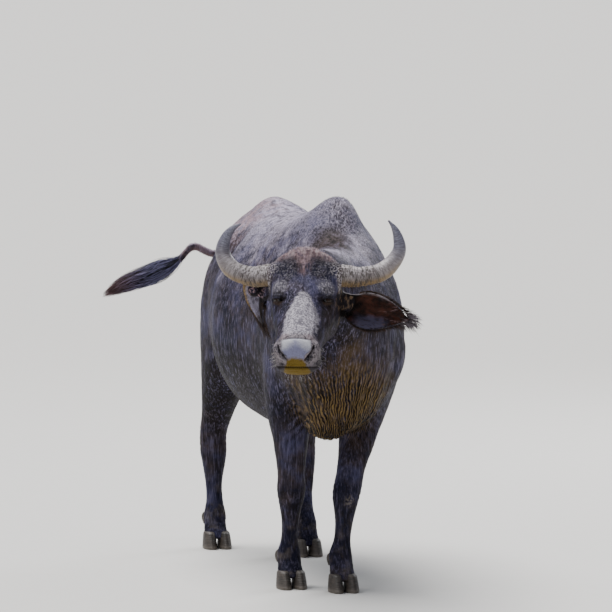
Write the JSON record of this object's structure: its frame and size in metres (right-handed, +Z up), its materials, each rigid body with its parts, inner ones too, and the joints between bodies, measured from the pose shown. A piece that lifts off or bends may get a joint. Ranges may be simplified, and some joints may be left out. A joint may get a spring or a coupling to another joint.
{
  "type": "african buffalo cow",
  "caption": "Life-size African buffalo cow standing with her head a little turned, upswept horns, drooping ears and her tail swung out to one side.",
  "frame": {"origin": "on the floor, under the middle of the object's box", "axes": "+X to her left, +Y towards her rump along her length, +Z up"},
  "size_m": [0.9054, 2.3616, 1.3923],
  "materials": {
    "hide": "thinly haired dark skin, dusty in its folds",
    "hair": "coarse dark hair",
    "horn": "rough grey horn, smoother to the tips",
    "claw": "dull dark horn",
    "eye": "wet dark eye"
  },
  "bodies": {
    "root": {"ear_left": "hide", "ear_right": "hide", "eye_left": "eye", "eye_right": "eye", "foreleg_left": "hide", "foreleg_left_claw_inner": "claw", "foreleg_left_claw_outer": "claw", "foreleg_left_dewclaw_inner": "claw", "foreleg_left_dewclaw_outer": "claw", "foreleg_right": "hide", "foreleg_right_claw_inner": "claw", "foreleg_right_claw_outer": "claw", "foreleg_right_dewclaw_inner": "claw", "foreleg_right_dewclaw_outer": "claw", "head": "hide", "hindleg_left": "hide", "hindleg_left_claw_inner": "claw", "hindleg_left_claw_outer": "claw", "hindleg_left_dewclaw_inner": "claw", "hindleg_left_dewclaw_outer": "claw", "hindleg_right": "hide", "hindleg_right_claw_inner": "claw", "hindleg_right_claw_outer": "claw", "hindleg_right_dewclaw_inner": "claw", "hindleg_right_dewclaw_outer": "claw", "horn_left": "horn", "horn_right": "horn", "neck": "hide", "tail": "hide", "tail_tuft": "hair", "torso": "hide"}
  },
  "joints": []
}
